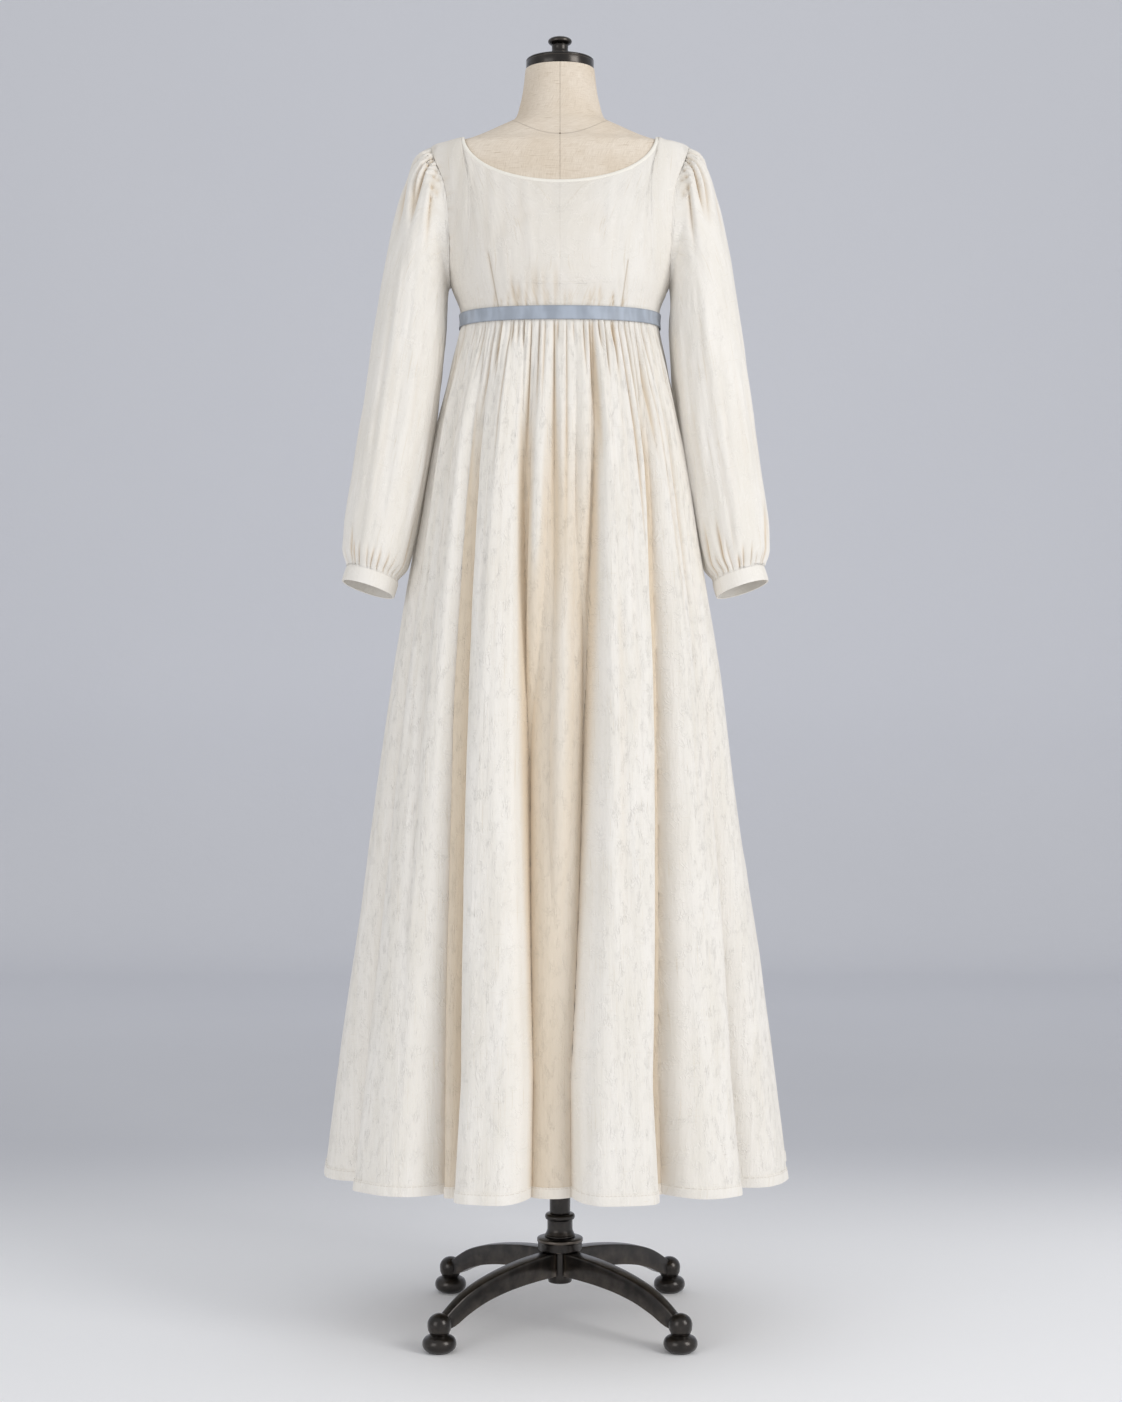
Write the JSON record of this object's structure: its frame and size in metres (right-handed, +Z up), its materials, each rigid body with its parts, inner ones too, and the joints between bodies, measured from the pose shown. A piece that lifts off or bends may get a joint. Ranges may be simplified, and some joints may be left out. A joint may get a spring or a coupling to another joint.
{
  "type": "regency gown on a dress form",
  "caption": "Empire-waist gown with a scooped neck, long gathered sleeves, waist ribbon and full gathered skirt, on a limbless dress form with a four-legged stand.",
  "frame": {"origin": "on the floor under the pole's axis, at the centre of the four feet", "axes": "+Z up, -Y to the wearer's front, +X to the wearer's left"},
  "size_m": [0.6272, 0.4798, 1.744],
  "materials": {
    "gown_cloth": "crinkled natural ivory linen weave, slightly sheer",
    "binding_cloth": "narrow folded bias binding",
    "ribbon_satin": "slate blue satin",
    "form_linen": "plain beige linen, stretched over the form",
    "bronze_metal": "dark bronze, satin"
  },
  "bodies": {
    "root": {"bodice_front_left": "gown_cloth", "bodice_front_right": "gown_cloth", "bodice_back_left": "gown_cloth", "bodice_back_right": "gown_cloth", "sleeve_left": "gown_cloth", "sleeve_right": "gown_cloth", "cuff_left": "gown_cloth", "cuff_right": "gown_cloth", "skirt_front": "gown_cloth", "skirt_back": "gown_cloth", "hem_front": "gown_cloth", "hem_back": "gown_cloth", "neck_binding": "binding_cloth", "waist_ribbon": "ribbon_satin", "dress_form": "form_linen", "neck_cap": "bronze_metal", "cap_knob": "bronze_metal", "form_socket": "bronze_metal", "stand_pole": "bronze_metal", "pole_collar": "bronze_metal", "base_hub": "bronze_metal", "leg_front_left": "bronze_metal", "leg_front_right": "bronze_metal", "leg_back_left": "bronze_metal", "leg_back_right": "bronze_metal", "foot_front_left": "bronze_metal", "foot_front_right": "bronze_metal", "foot_back_left": "bronze_metal", "foot_back_right": "bronze_metal"}
  },
  "joints": []
}
